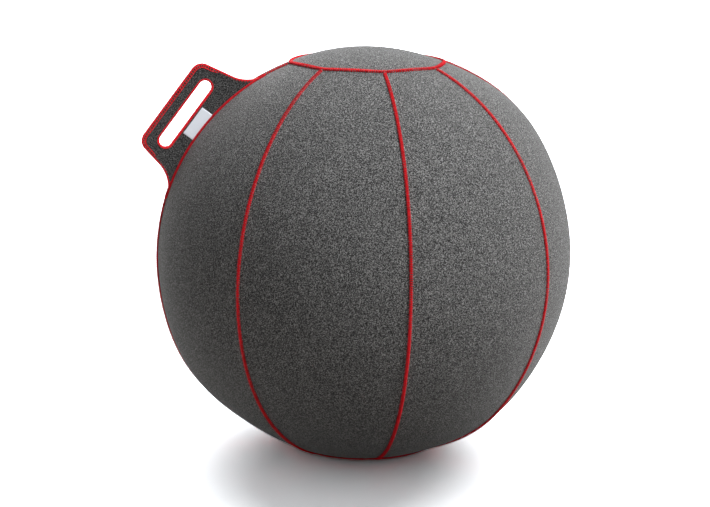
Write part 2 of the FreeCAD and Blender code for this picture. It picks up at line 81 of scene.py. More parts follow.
ball["step"] = 360 / ball["gores"]

seam = {
    "pitch": 3.3 * mm,
    "strand": 0.5 * mm,       # thread radius
    "halfWidth": 2.15 * mm,   # middle of the outermost strand
    "height": 2.7 * mm,       # middle of the top strands
    "bedHalfWidth": 2.0 * mm,
    "bedHeight": 1.9 * mm,
    "feltEdge": 1.8 * mm,     # turned-up felt's face, from the seam's plane
    "roll": 0.95 * mm,        # radius that the felt turns up with
    "endGap": 3.9 * mm,       # from a gore seam's end to the middle of the octagon's seam
    # steps of the turned-up edge, in shares of the roll: towards the seam's plane, outwards
    "turnUp": [(0.3, 0.08), (0.75, 0.38), (1.0, 1.0), (1.0, 1.9)],
}

handle = {
    "around": 270,
    "polar": 53.3,            # direction that the handle points in
    "shift": -13 * mm,        # its middle, along the seam from that direction
    "reach": 67.3 * mm,       # outer edge above the felt
    "halfWidth": 76.5 * mm,   # at the outer edge
    "slope": 11.5,            # degrees that each side leans
    "cornerRadius": 18 * mm,
    "footRadius": 55 * mm,    # hollow curve from a side into the ball
    "layer": 3 * mm,          # one layer of felt
    "layerGap": 0.1 * mm,
    "root": 2.5 * mm,         # how far the felt reaches into the seam
    "slotReach": 35.4 * mm,   # slot's middle above the felt
    "slotLength": 121 * mm,
    "slotWidth": 20 * mm,
    "fold": 8 * mm,           # line above the felt, about which the handle's mesh is cut into rows
    "foldZone": 4.5 * mm,     # either side of it
    "foldRow": 1.25 * mm,     # rows of the mesh about the fold line
    "edgeBand": 5.8 * mm,     # red edging on the faces at the outer edge
    "sideBand": 3.2 * mm,     # and at the sides
    "widens": (28 * mm, 44 * mm),  # heights above the felt between which it widens
    "slotBand": 2.4 * mm,
    "bedBand": 1.6 * mm,      # thread under the strands, darkened as painted shade in the gaps between the stitches
    "bedPitch": 2.2 * mm,
    "strand": 0.43 * mm,      # thread radius
    "pitch": 2.1 * mm,
    "chainPitch": 1.1 * mm,   # places along the thread that links the stitches
    "basePitch": 0.5,         # base seam's stitches, in shares of a ball seam's
}
slotMiddle = Vector((ball["radius"] + handle["slotReach"], handle["shift"]))

zipper = {
    "around": 180,
    "top": 74.0,
    "bottom": 145.0,
    "halfOpening": 4.5 * mm,
    "coilRadius": 1.05 * mm,
    "coilFlatness": 0.8,      # its height against its width
    "coilPitch": 1.6 * mm,
    "coilWire": 0.32 * mm,    # wire radius
    "coilSide": 2.0 * mm,     # coil's middle, from the zip's
    "coilDepth": 2.3 * mm,    # and below the felt
    "coilEnd": 0.8,           # degrees that a coil stops short of the opening
}

threadSides = 1


# places on the ball

def direction(polar, around):
    polar, around = math.radians(polar), math.radians(around)
    flat = math.sin(polar)
    return Vector((flat * math.sin(around), -flat * math.cos(around), math.cos(polar)))


def meridianArc(around, polarFrom, polarTo):
    start, along = direction(polarFrom, around), direction(polarFrom + 90, around)
    return start, along, start.cross(along), math.radians(polarTo - polarFrom)


def octagonCorner(index, end):
    polar = ball["octagonAngle"] if end > 0 else 180 - ball["octagonAngle"]
    return direction(polar, index * ball["step"])


def octagonArc(index, end):
    start, finish = octagonCorner(index, end), octagonCorner(index + 1, end)
    side = start.cross(finish).normalized()
    return start, side.cross(start), side, start.angle(finish)


def smoothStep(low, high, value):
    share = min(max((value - low) / (high - low), 0), 1)
    return share * share * (3 - 2 * share)


def polarOf(place):
    return math.degrees(place.angle(Vector((0, 0, 1))))


swellCentres = [(direction(polar, around), reach, height)
                for polar, around, reach, height in ball["swells"]]


def swollen(place):
    outward = place.normalized()
    height = 0.0
    for centre, reach, most in swellCentres:
        height += most * math.exp(-(math.degrees(outward.angle(centre)) / reach) ** 2)
    return place + outward * height


def settled(place):
    # a place on the plain ball, moved as the filled cover has pulled it
    polar = polarOf(place)
    around = math.degrees(math.atan2(place.x, -place.y))
    share = (around / ball["step"]) % 1
    past = min(polar, 180 - polar) - ball["octagonAngle"]
    pull = ball["bow"] * 4 * share * (1 - share) + (ball["lift"] if polar > 90 else 0)
    pull *= math.exp(-(past / ball["bowReach"][past > 0]) ** 2)
    return swollen(direction(polar + math.copysign(pull, 90 - polar), around) * place.length)


def arcPlace(arc, angle, lateral, height):
    start, along, side, sweep = arc
    outward = start * math.cos(angle) + along * math.sin(angle)
    return outward * (ball["radius"] + height) + side * lateral


def onArc(arc, angle, lateral, height):
    return ball["centre"] + settled(arcPlace(arc, angle, lateral, height))


def between(low, high, rise, value):
    return smoothStep(low, low + rise, value) * (1 - smoothStep(high - rise, high, value))


# the handle's outline, in the plane of its seam: x away from the ball's centre, y down the seam

def handleSide(sign):
    slope = math.radians(handle["slope"])
    down = Vector((-math.cos(slope), sign * math.sin(slope)))
    outward = Vector((math.sin(slope), sign * math.cos(slope)))
    corner = Vector((ball["radius"] + handle["reach"], handle["shift"] + sign * handle["halfWidth"]))
    offset = corner + outward * handle["footRadius"]
    reach = ball["radius"] + handle["footRadius"]
    along = offset.dot(down)
    centre = offset + down * (-along - math.sqrt(along ** 2 - offset.dot(offset) + reach ** 2))
    half = down.angle(Vector((0, -sign))) / 2
    inward = (down + Vector((0, -sign))).normalized()
    cornerCentre = corner + inward * (handle["cornerRadius"] / math.sin(half))
    return centre, outward, cornerCentre


def arcPoints(centre, radius, fromPoint, toPoint, count):
    first, last = fromPoint - centre, toPoint - centre
    start = math.atan2(first.y, first.x)
    sweep = math.atan2(last.y, last.x) - start
    sweep = (sweep + math.pi) % (2 * math.pi) - math.pi
    angles = [start + sweep * step / count for step in range(count + 1)]
    return [centre + Vector((math.cos(angle), math.sin(angle))) * radius for angle in angles]


def handlePath():
    sides = []
    for sign in (-1, 1):
        centre, outward, cornerCentre = handleSide(sign)
        onBall = centre * (ball["radius"] / centre.length)
        onSide = centre - outward * handle["footRadius"]
        foot = arcPoints(centre, handle["footRadius"], onBall, onSide, 20)
        sideEnd = cornerCentre + outward * handle["cornerRadius"]
        top = cornerCentre + Vector((handle["cornerRadius"], 0))
        sides.append(foot + arcPoints(cornerCentre, handle["cornerRadius"], sideEnd, top, 10))
    return sides[0] + sides[1][::-1]


def slotPath(growth=0.0):
    radius = handle["slotWidth"] / 2 + growth
    reach = (handle["slotLength"] - handle["slotWidth"]) / 2
    points = []
    for sign in (1, -1):
        centre = slotMiddle + Vector((0, sign * reach))
        for step in range(17):
            angle = math.pi * step / 16
            points.append(centre + Vector((math.cos(angle), math.sin(angle))) * radius * sign)
    return points


def evenly(points, pitch, closed=False):
    # equally spaced places along a path, each with its direction of travel
    points = points + [points[0]] if closed else points
    lengths = [0.0]
    for first, second in zip(points, points[1:]):
        lengths.append(lengths[-1] + (second - first).length)
    count = max(round(lengths[-1] / pitch), 1)
    places, segment = [], 0
    for index in range(count if closed else count + 1):
        at = min(lengths[-1] * index / count, lengths[-1] - 1e-9)
        while lengths[segment + 1] < at:
            segment += 1
        first, second = points[segment], points[segment + 1]
        share = (at - lengths[segment]) / (lengths[segment + 1] - lengths[segment])
        places.append((first.lerp(second, share), (second - first).normalized()))
    return places


handleOut = direction(handle["polar"], handle["around"])
handleAlong = direction(handle["polar"] + 90, handle["around"])
handleAcross = handleOut.cross(handleAlong)


def onHandle(x, y, z):
    return ball["centre"] + handleOut * x + handleAlong * y + handleAcross * z


handleTurn = Matrix((handleOut, handleAlong, handleAcross)).transposed().to_4x4()
handleMatrix = Matrix.Translation(ball["centre"]) @ handleTurn

footEnds = [math.degrees(math.atan2(point.y, point.x)) + handle["polar"]
            for point in (handlePath()[0], handlePath()[-1])]  # polar angles of the handle's feet


# node materials

def newMaterial(name):
    material = bpy.data.materials.new(name)
    material.use_nodes = True
    tree = material.node_tree
    return material, tree, tree.nodes["Principled BSDF"]


def colourRamp(tree, factor, stops):
    ramp = tree.nodes.new("ShaderNodeValToRGB")
    elements = ramp.color_ramp.elements
    elements[0].position, elements[0].color = stops[0]
    elements[1].position, elements[1].color = stops[-1]
    for position, colour in stops[1:-1]:
        elements.new(position).color = colour
    tree.links.new(factor, ramp.inputs["Fac"])
    return ramp.outputs["Color"]


def grey(value, blue=0.0):
    return (value * (1 - blue), value, value * (1 + blue), 1)


def shades(tree, factor, dark, light):
    return colourRamp(tree, factor, [(0.3, grey(dark)), (0.7, grey(light))])


def objectNoise(tree, scale, detail=2.0, roughness=0.5):
    coordinates = tree.nodes.new("ShaderNodeTexCoord")
    texture = tree.nodes.new("ShaderNodeTexNoise")
    texture.inputs["Scale"].default_value = scale
    texture.inputs["Detail"].default_value = detail
    texture.inputs["Roughness"].default_value = roughness
    tree.links.new(coordinates.outputs["Object"], texture.inputs["Vector"])
    return texture.outputs["Fac"]


def multiplied(tree, first, second):
    mix = tree.nodes.new("ShaderNodeMix")
    mix.data_type, mix.blend_type = "RGBA", "MULTIPLY"
    mix.inputs[0].default_value = 1.0
    tree.links.new(first, mix.inputs[6])
    tree.links.new(second, mix.inputs[7])
    return mix.outputs[2]


def addBump(tree, shader, height, strength, distance):
    bump = tree.nodes.new("ShaderNodeBump")
    bump.inputs["Strength"].default_value = strength
    bump.inputs["Distance"].default_value = distance
    tree.links.new(height, bump.inputs["Height"])
    tree.links.new(bump.outputs["Normal"], shader.inputs["Normal"])


feltLook = {
    "dark": 0.02, "mid": 0.085, "light": 0.44,       # tones of the heathered wool
    "speckle": 620, "fibre": 1500, "cloud": 45,      # patterns' scales
    "sheen": 0.25,
}


def feltMaterial(name, shade=1.0):
    material, tree, shader = newMaterial(name)
    speckle = objectNoise(tree, feltLook["speckle"], 4.0, 0.75)
    tones = colourRamp(tree, speckle, [
        (0.41, grey(feltLook["dark"] * shade, 0.01)),
        (0.50, grey(feltLook["mid"] * shade, 0.01)),
        (0.61, grey(feltLook["light"] * shade, 0.0)),
    ])
    fibres = shades(tree, objectNoise(tree, feltLook["fibre"], 2.0, 0.6), 0.6, 1.4)
    clouds = shades(tree, objectNoise(tree, feltLook["cloud"], 3.0, 0.6), 0.92, 1.08)
    colour = multiplied(tree, multiplied(tree, tones, fibres), clouds)
    tree.links.new(colour, shader.inputs["Base Color"])
    shader.inputs["Roughness"].default_value = 0.95
    shader.inputs["Specular IOR Level"].default_value = 0.1
    shader.inputs["Sheen Weight"].default_value = feltLook["sheen"]
    shader.inputs["Sheen Roughness"].default_value = 0.4
    addBump(tree, shader, speckle, 0.7, 0.001)
    return material


threadLook = {
    "deep": (0.55, 0.008, 0.015), "body": (0.88, 0.014, 0.026), "lit": (0.98, 0.05, 0.07),
    "twist": 1400, "wear": 170,                      # patterns' scales
}


def threadMaterial(name, shade=1.0):
    material, tree, shader = newMaterial(name)
    shaded = [tuple(channel * shade for channel in threadLook[key]) + (1,)
              for key in ("deep", "body", "lit")]
    twist = objectNoise(tree, threadLook["twist"], 2.0, 0.6)
    tones = colourRamp(tree, twist, [(0.28, shaded[0]), (0.5, shaded[1]), (0.74, shaded[2])])
    wear = shades(tree, objectNoise(tree, threadLook["wear"], 1.0, 0.5), 0.85, 1.12)
    tree.links.new(multiplied(tree, tones, wear), shader.inputs["Base Color"])
    shader.inputs["Roughness"].default_value = 0.65
    shader.inputs["Specular IOR Level"].default_value = 0.15
    addBump(tree, shader, twist, 0.4, 0.0003)
    return material


def wovenMaterial(name, first, second, scale, roughness=0.8):
    material, tree, shader = newMaterial(name)
    coordinates = tree.nodes.new("ShaderNodeTexCoord")
    weave = tree.nodes.new("ShaderNodeMath")
    weave.operation = "MULTIPLY"
    for index, axis in enumerate(("X", "Z")):
        wave = tree.nodes.new("ShaderNodeTexWave")
        wave.bands_direction = axis
        wave.inputs["Scale"].default_value = scale
        wave.inputs["Distortion"].default_value = 0.6
        tree.links.new(coordinates.outputs["Object"], wave.inputs["Vector"])
        tree.links.new(wave.outputs["Fac"], weave.inputs[index])
    tones = colourRamp(tree, weave.outputs[0], [(0.0, first), (0.8, second)])
    tree.links.new(tones, shader.inputs["Base Color"])
    shader.inputs["Roughness"].default_value = roughness
    addBump(tree, shader, weave.outputs[0], 0.25, 0.0002)
    return material


def mouldedMaterial(name, first, second, roughness, metallic=0.0, scale=90):
    material, tree, shader = newMaterial(name)
    fine = objectNoise(tree, scale * 12, 2.0, 0.5)
    tones = colourRamp(tree, objectNoise(tree, scale, 4.0, 0.6), [(0.3, first), (0.7, second)])
    tree.links.new(tones, shader.inputs["Base Color"])
    gloss = shades(tree, fine, roughness * 0.9, min(roughness * 1.15, 1))
    tree.links.new(gloss, shader.inputs["Roughness"])
    shader.inputs["Metallic"].default_value = metallic
    addBump(tree, shader, fine, 0.15, 0.0002)
    return material


greyFelt = feltMaterial("greyFelt")
# darker copy of the felt for the handle: painted shade, offsetting the lamp that lights only the handle
handleFeltPaintedShade = feltMaterial("handleFeltPaintedShade", 0.42)
redThread = threadMaterial("redThread")
# dark copy of the thread for the beds under the stitches: painted shade in the gaps between them
redThreadPaintedShade = threadMaterial("redThreadPaintedShade", 0.2)
labelWeave = wovenMaterial("labelWeave", (0.80, 0.86, 0.95, 1), (0.88, 0.92, 0.98, 1), 900)
zipTapeWeave = wovenMaterial("zipTapeWeave", grey(0.03), grey(0.07), 500)
zipNylon = mouldedMaterial("zipNylon", grey(0.05), grey(0.08), 0.45)
zipMetal = mouldedMaterial("zipMetal", grey(0.16), grey(0.24), 0.32, metallic=1.0)
bladderVinyl = mouldedMaterial("bladderVinyl", (0.16, 0.17, 0.19, 1), (0.20, 0.21, 0.23, 1), 0.38,
                               scale=30)
plugPlastic = mouldedMaterial("plugPlastic", grey(0.62), grey(0.70), 0.5)
ringPlastic = mouldedMaterial("ringPlastic", grey(0.02), grey(0.035), 0.55)
print("materials ready")


# making pieces

def finishPiece(name, mesh, materials, body=None, replaced=(), smooth=True):
    piece = bpy.data.objects.new(name, mesh)
    bpy.context.scene.collection.objects.link(piece)
    mesh.materials.clear()
    for material in materials:
        mesh.materials.append(material)
    mesh.polygons.foreach_set("use_smooth", [smooth] * len(mesh.polygons))
    if body:
        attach(piece, body)
    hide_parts(*replaced)
    return piece


def meshFrom(bm, name):
    mesh = bpy.data.meshes.new(name)
    bm.to_mesh(mesh)
    bm.free()
    return mesh


def meshOfCurve(curve):
    holder = bpy.data.objects.new(curve.name, curve)
    mesh = bpy.data.meshes.new_from_object(holder)
    bpy.data.objects.remove(holder)
    bpy.data.curves.remove(curve)
    return mesh


def strandMesh(name, strands, radius, sides=1, closed=False):
    # round thread along each list of (place, share of the radius)
    curve = bpy.data.curves.new(name + "Path", "CURVE")
    curve.dimensions = "3D"
    curve.bevel_depth = radius
    curve.bevel_resolution = sides
    curve.use_fill_caps = not closed
    for points in strands:
        spline = curve.splines.new("POLY")
        spline.points.add(len(points) - 1)
        spline.use_cyclic_u = closed
        for point, (place, size) in zip(spline.points, points):
            point.co = (*place, 1)
            point.radius = size
    return meshOfCurve(curve)


def rowOf(bm, places):
    verts = [bm.verts.new(place) for place in places]
    return verts, [bm.edges.new(pair) for pair in zip(verts, verts[1:])]


def extrudedRow(bm, verts, edges):
    # extrudes a row of edges and gives the new row, its vertices in the old one's order
    made = bmesh.ops.extrude_edge_only(bm, edges=edges)["geom"]
    old, partners = set(verts), {}
    for vert in made:
        if isinstance(vert, bmesh.types.BMVert):
            neighbours = (edge.other_vert(vert) for edge in vert.link_edges)
            partners[next(other for other in neighbours if other in old)] = vert
    new = set(partners.values())
    newEdges = [item for item in made
                if isinstance(item, bmesh.types.BMEdge) and new.issuperset(item.verts)]
    return [partners[vert] for vert in verts], newEdges


def joined(name, meshes):
    # meshes in one, each with its own material slot
    bm = bmesh.new()
    for index, mesh in enumerate(meshes):
        start = len(bm.faces)
        bm.from_mesh(mesh)
        bm.faces.ensure_lookup_table()
        for face in bm.faces[start:]:
            face.material_index = index
    return meshFrom(bm, name)


# felt cover

def coverProfile(polars):
    # half outline of the ball in the XZ plane, pressed flat underneath
    radius, blend, floorZ = ball["radius"], ball["floorBlend"], -ball["centre"].z
    blendX = math.sqrt((radius - blend) ** 2 - (floorZ + blend) ** 2)
    leave = math.degrees(math.atan2(blendX, floorZ + blend))
    points = []
    for polar in polars:
        if polar <= leave:
            points.append(direction(polar, 90) * radius)
            continue
        ratio = 2 * (polar - leave) / (180 - leave)
        turned = direction(leave + (180 - leave) * min(ratio, 1), 90)
        onBlend = Vector((blendX, 0, floorZ + blend)) + turned * blend
        points.append(Vector((onBlend.x * (1 - max(ratio - 1, 0)), 0, onBlend.z)))
    return points


def spunCover(points, aroundFrom, sweep, steps):
    bm = bmesh.new()
    verts, edges = rowOf(bm, points)
    turn = Matrix.Rotation(math.radians(aroundFrom - 90), 3, "Z")
    bmesh.ops.rotate(bm, verts=verts, cent=(0, 0, 0), matrix=turn)
    bmesh.ops.spin(bm, geom=verts + edges, cent=(0, 0, 0), axis=(0, 0, 1), angle=math.radians(sweep),
                   steps=steps, use_merge=sweep == 360)
    bmesh.ops.remove_doubles(bm, verts=bm.verts, dist=1e-6)
    return bm


def openShare(around, polar):
    # how far the gores' edges stand back for the handle or the zip, from 0 to 1
    if around == handle["around"]:
        return between(footEnds[0] - 1, footEnds[1] + 1, 4, polar)
    if around == zipper["around"]:
        return between(zipper["top"] - 1, zipper["bottom"] + 1, 2.5, polar)
    return 0.0


def drawnIn(bm, sides, start):
    # draws the felt in beside its seams, and back from the handle and the zip
    for vert in bm.verts:
        outward = vert.co.normalized()
        polar = polarOf(outward)
        if polar > 160:  # the flat underneath stays flat
            continue
        sink = ball["unevenness"] * noise.noise(vert.co * ball["unevenPerMetre"])
        push = Vector((0, 0, 0))
        for normal, around in sides:
            away = vert.co.dot(normal) - start
            along = vert.co.cross(normal)
            near = math.exp(-max(away, 0) / ball["drawReach"])
            sink -= ball["draw"] * near
            sink += ball["ripple"] * near * noise.noise((along + normal) / ball["ripplePitch"])
            setBack = zipper["halfOpening"] - seam["feltEdge"]
            if around == handle["around"]:
                setBack = handle["layer"]
            share = openShare(around, polar) * math.exp(-max(away, 0) / ball["openReach"])
            push += normal * setBack * share
        vert.co += push + outward * sink


def turnedUp(bm, edgeSides):
    # extrudes the trimmed edges outwards, and at the zip a little inwards
    edges = [edge for edge in bm.edges if edge.is_boundary]
    verts = list(edgeSides)
    origins = [(vert.co.copy(), edgeSides[vert]) for vert in verts]
    for across, up in seam["turnUp"]:
        verts, edges = extrudedRow(bm, verts, edges)
        for vert, (place, vertSides) in zip(verts, origins):
            outward = place.normalized()
            shift, rise = Vector((0, 0, 0)), 1.0
            for normal, around in vertSides:
                shift -= normal * seam["roll"] * across
                if around == zipper["around"]:
                    rise = 1 - 1.25 * openShare(around, polarOf(outward))
            vert.co = place + shift + outward * seam["roll"] * up * rise


def feltPanel(name, bm, sides, replaced):
    # trims a felt panel at its seams and finishes its edges
    start = seam["feltEdge"] + seam["roll"]
    for normal, around in sides:
        bmesh.ops.bisect_plane(bm, geom=bm.verts[:] + bm.edges[:] + bm.faces[:], dist=1e-6,
                               plane_co=normal * start, plane_no=normal, clear_inner=True)
    edgeSides = {vert: [side for side in sides if abs(vert.co.dot(side[0]) - start) < 1e-5]
                 for vert in bm.verts if vert.is_boundary}
    drawnIn(bm, sides, start)
    bmesh.ops.recalc_face_normals(bm, faces=bm.faces)
    turnedUp(bm, edgeSides)
    bmesh.ops.recalc_face_normals(bm, faces=bm.faces)
    if sum(face.normal.dot(face.calc_center_median()) for face in bm.faces) < 0:
        bmesh.ops.reverse_faces(bm, faces=bm.faces)
    area = sum(face.calc_area() for face in bm.faces)
    for vert in bm.verts:
        vert.co = ball["centre"] + settled(vert.co)
    panel = finishPiece(name, meshFrom(bm, name), [greyFelt], "ball", replaced)
    thickness = panel.modifiers.new("thickness", "SOLIDIFY")
    thickness.thickness = ball["felt"]
    thickness.offset = -1
    thickness.use_even_offset = True
    return panel, area


coverRow = 1.5  # degrees
goreSpan = (14, 166)  # polar angles before the gores are trimmed
goreRows = round((goreSpan[1] - goreSpan[0]) / coverRow)
panelRows = 22

for index in range(ball["gores"]):
    aroundFrom, aroundTo = index * ball["step"], (index + 1) * ball["step"]
    outline = coverProfile([goreSpan[0] + (goreSpan[1] - goreSpan[0]) * row / goreRows
                            for row in range(goreRows + 1)])
    sides = [(direction(90, aroundFrom + 90), aroundFrom), (-direction(90, aroundTo + 90), aroundTo)]
    for end in (1, -1):
        sides.append((octagonArc(index, end)[2] * -end, None))
    gore, area = feltPanel("feltGore%d" % (index + 1), spunCover(outline, aroundFrom, ball["step"], 18),
                           sides, ["felt_gore_%d" % (index + 1)])

for name, end, polars in (("Top", 1, (0, 24)), ("Bottom", -1, (156, 180))):
    outline = coverProfile([polars[0] + (polars[1] - polars[0]) * row / panelRows
                            for row in range(panelRows + 1)])
    sides = [(octagonArc(index, end)[2] * end, None) for index in range(ball["gores"])]
    panel, area = feltPanel("feltPanel" + name, spunCover(outline, 0, 360, 72),
                            sides, [name.lower() + "_panel"])
print("felt cover made")


# overlock seams: strands over the turned-up edges, on a bed of thread darkened as painted shade in the
# gaps between the stitches

def seamBed(bm, arc):
    half, top = seam["bedHalfWidth"], seam["bedHeight"]
    corner, root = 0.9 * mm, -0.5 * mm
    section = [(-half, root), (-half, top - corner), (-half + corner, top),
               (half - corner, top), (half, top - corner), (half, root)]
    verts, edges = rowOf(bm, [arcPlace(arc, 0, lateral, height) for lateral, height in section])
    bmesh.ops.spin(bm, geom=verts + edges, cent=(0, 0, 0), axis=arc[2], angle=arc[3],
                   steps=max(round(math.degrees(arc[3]) / 2), 1))  # a row every two degrees


def seamStrands(arc, chance):
    # pairs of strands over the top and down a side, on the two sides by turns
    count = max(round(arc[3] * ball["radius"] / seam["pitch"]), 1)
    pitch = arc[3] / count
    half, top = seam["halfWidth"], seam["height"]
    strands = []
    for index in range(count):
        for side, shift in ((-1, 0.48), (1, 0.52)):
            for twin in (-0.08, 0.08):
                at = (index + shift + twin + chance.uniform(-0.04, 0.04)) * pitch
                lift = chance.uniform(-0.12, 0.12) * mm
                bends = [  # along in pitches, to the side, height, share of the thread's radius
                    (-0.16, -0.5 * mm, top - 0.25 * mm, 0.8),
                    (0, 0.9 * mm, top + 0.1 * mm + lift, 1.05),
                    (0.12, half - 0.5 * mm, top - 0.25 * mm + lift, 1.05),
                    (0.22, half, top - 1.3 * mm, 1.0),
                    (0.3, half + 0.1 * mm, 0.0, 0.9),
                ]
                strands.append([(onArc(arc, at + along * pitch, side * lateral, height), size)
                                for along, lateral, height, size in bends])
    return strands


def seamPiece(name, arcs, replaced, seed):
    chance = random.Random(seed)
    bm = bmesh.new()
    strands = []
    for arc in arcs:
        seamBed(bm, arc)
        strands += seamStrands(arc, chance)
    for vert in bm.verts:
        vert.co = ball["centre"] + settled(vert.co)
    bmesh.ops.recalc_face_normals(bm, faces=bm.faces)
    bed = meshFrom(bm, name + "Bed")
    thread = strandMesh(name, strands, seam["strand"], threadSides)
    return finishPiece(name, joined(name, [thread, bed]), [redThread, redThreadPaintedShade], "ball", replaced)


clear = math.degrees(seam["endGap"] / ball["radius"])
seamTop, seamBottom = ball["octagonAngle"] + clear, 180 - ball["octagonAngle"] - clear
for index in range(ball["gores"]):
    around = index * ball["step"]
    if around == handle["around"]:
        runs = [(seamTop, footEnds[0]), (footEnds[1], seamBottom)]
    elif around == zipper["around"]:
        runs = [(seamTop, zipper["top"]), (zipper["bottom"], seamBottom)]
    else:
        runs = [(seamTop, seamBottom)]
    arcs = [meridianArc(around, *run) for run in runs]
    seamPiece("goreSeam%d" % (index + 1), arcs, ["gore_seam_%d" % (index + 1)], index)
for name, end in (("Top", 1), ("Bottom", -1)):
    arcs = [octagonArc(index, end) for index in range(ball["gores"])]
    seamPiece("octagonSeam" + name, arcs, [name.lower() + "_seam"], 20 + end)
print("seams made")


# handle

def faceMesh(name, outline, holes, depth):
    # flat face with holes, given a thickness about its own plane
    curve = bpy.data.curves.new(name + "Outline", "CURVE")
    curve.dimensions = "2D"
    curve.fill_mode = "BOTH"
    curve.extrude = depth / 2
    for points in [outline] + holes:
        spline = curve.splines.new("POLY")
        spline.points.add(len(points) - 1)
        spline.use_cyclic_u = True
        for point, place in zip(spline.points, points):
            point.co = (place.x, place.y, 0, 1)
    return meshOfCurve(curve)


def foldCuts(bm, low, high, step):
    # cuts a flat piece into rows about the fold line; x is the distance from the ball's centre
    cut = low
    while cut < high:
        bmesh.ops.bisect_plane(bm, geom=bm.verts[:] + bm.edges[:] + bm.faces[:], dist=1e-6,
                               plane_co=(cut, 0, 0), plane_no=(1, 0, 0))
        cut += step


foldX = ball["radius"] + handle["fold"]


def bendsAtFold(piece):
    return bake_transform(piece)


def handleFelt(name, sign, replaced):
    path = handlePath()
    inside = ball["radius"] - handle["root"]
    outline = path + [path[-1].normalized() * inside, Vector((inside, 0)),
                      path[0].normalized() * inside]
    mesh = faceMesh(name, outline, [slotPath(0.9 * mm)], handle["layer"])
    bm = bmesh.new()
    bm.from_mesh(mesh)
    bmesh.ops.remove_doubles(bm, verts=bm.verts, dist=1e-6)
    foldCuts(bm, ball["radius"] - 2 * mm, foldX + 2 * handle["foldZone"], handle["foldRow"])
    bmesh.ops.triangulate(bm, faces=bm.faces)
    bmesh.ops.recalc_face_normals(bm, faces=bm.faces)
    middle = sign * (handle["layer"] + handle["layerGap"]) / 2
    bmesh.ops.translate(bm, verts=bm.verts, vec=(0, 0, middle))
    bmesh.ops.transform(bm, matrix=handleMatrix, verts=bm.verts)
    piece = finishPiece(name, meshFrom(bm, name), [handleFeltPaintedShade], None, replaced, smooth=False)
    bendsAtFold(piece)
    return piece


def acrossEdge(place, travel, closed):
    # from the handle's edge into its felt, or from the slot's edge
    inward = Vector((travel.y, -travel.x))
    return -inward if closed != (inward.dot(slotMiddle - place) < 0) else inward


def bandDepth(place, inward, band):
    # how far the edging reaches in: less on the handle's sides, and no deeper than the ball
    limit = ball["radius"] + 1.5 * mm
    depth = band
    if band > handle["sideBand"]:
        wide = smoothStep(*handle["widens"], place.x - ball["radius"])
        depth = handle["sideBand"] + (band - handle["sideBand"]) * wide
    while depth > 0 and (place + inward * depth).length < limit:
        depth -= 0.25 * mm
    return depth


def edgingStrands(path, band, closed, seed):
    chance = random.Random(seed)
    half = handle["layer"] + 0.35 * mm
    strands = []
    for number, (place, travel) in enumerate(evenly(path, handle["pitch"], closed)):
        inward = acrossEdge(place, travel, closed)
        depth = bandDepth(place, inward, band)
        if depth < 1.2 * mm:
            continue
        lean = travel * handle["pitch"] * (0.9 if number % 2 else -0.9)
        slack = chance.uniform(-0.3, 0.3) * mm
        for z in (1, -1):
            inner = place + inward * (depth + slack) + lean
            shoulder = place + inward * 0.9 * mm
            rim = place - inward * 0.25 * mm
            strands.append([
                (onHandle(inner.x, inner.y, z * half), 0.75),
                (onHandle(shoulder.x, shoulder.y, z * (half + 0.15 * mm)), 1.1),
                (onHandle(rim.x, rim.y, z * (half - 0.9 * mm)), 1.15),
                (onHandle(rim.x, rim.y, -z * 0.3 * mm), 1.15),
            ])
    return strands


def chainStrand(path, inset, z, closed):
    # the thread that links the stitches' inner ends, as far as they keep their depth
    points = []
    for place, travel in evenly(path, handle["chainPitch"], closed):
        inward = acrossEdge(place, travel, closed)
        depth = bandDepth(place, inward, inset)
        if depth < inset * 0.7 and not closed and inset > 2 * mm:
            if points:
                break
            continue
        at = place + inward * depth
        points.append((onHandle(at.x, at.y, z), 1.0))
    return points


def edgingBed(name, path, band, closed):
    # thread round the edge, darkened as painted shade between the stitches, extruded along it from row
    # to row
    half = handle["layer"] + 0.15 * mm
    rows = []
    for place, travel in evenly(path, handle["bedPitch"], closed):
        inward = acrossEdge(place, travel, closed)
        depth = bandDepth(place, inward, band)
        if depth < 0.6 * mm:
            continue
        section = [(depth, half), (0.6 * mm, half + 0.1 * mm), (-0.2 * mm, half - 0.8 * mm),
                   (-0.2 * mm, -half + 0.8 * mm), (0.6 * mm, -half - 0.1 * mm), (depth, -half)]
        rows.append([onHandle(*(place + inward * along), z) for along, z in section])
    if closed:
        rows.append(rows[0])
    bm = bmesh.new()
    verts, edges = rowOf(bm, rows[0])
    for row in rows[1:]:
        verts, edges = extrudedRow(bm, verts, edges)
        for vert, place in zip(verts, row):
            vert.co = place
    bmesh.ops.remove_doubles(bm, verts=bm.verts, dist=1e-6)
    bmesh.ops.recalc_face_normals(bm, faces=bm.faces)
    return meshFrom(bm, name + "Bed")


def edging(name, path, band, bedBand, closed, replaced, seed):
    strands = edgingStrands(path, band, closed, seed)
    thread = strandMesh(name, strands, handle["strand"], threadSides)
    chains = [chainStrand(path, band, z * (handle["layer"] + 0.5 * mm), closed) for z in (1, -1)]
    chain = strandMesh(name + "Chain", chains, handle["strand"] * 1.1, 1, closed)
    bed = edgingBed(name, path, bedBand, closed)
    return finishPiece(name, joined(name, [thread, chain, bed]), [redThread, redThread, redThreadPaintedShade],
                       None, replaced)


for name, sign in (("Front", 1), ("Back", -1)):
    nodes = ["handle_root_" + name.lower(), "handle_flap_" + name.lower()]
    handleFelt("handleFelt" + name, sign, nodes)
edge = edging("handleEdging", handlePath(), handle["edgeBand"], handle["bedBand"], False,
              ["handle_edge_seam", "handle_root_edge_upper", "handle_root_edge_lower"], 31)
bendsAtFold(edge)
slotEdge = edging("slotEdging", slotPath(), handle["slotBand"], handle["bedBand"], True,
                  ["slot_edge_seam"], 32)
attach(slotEdge, "handle")


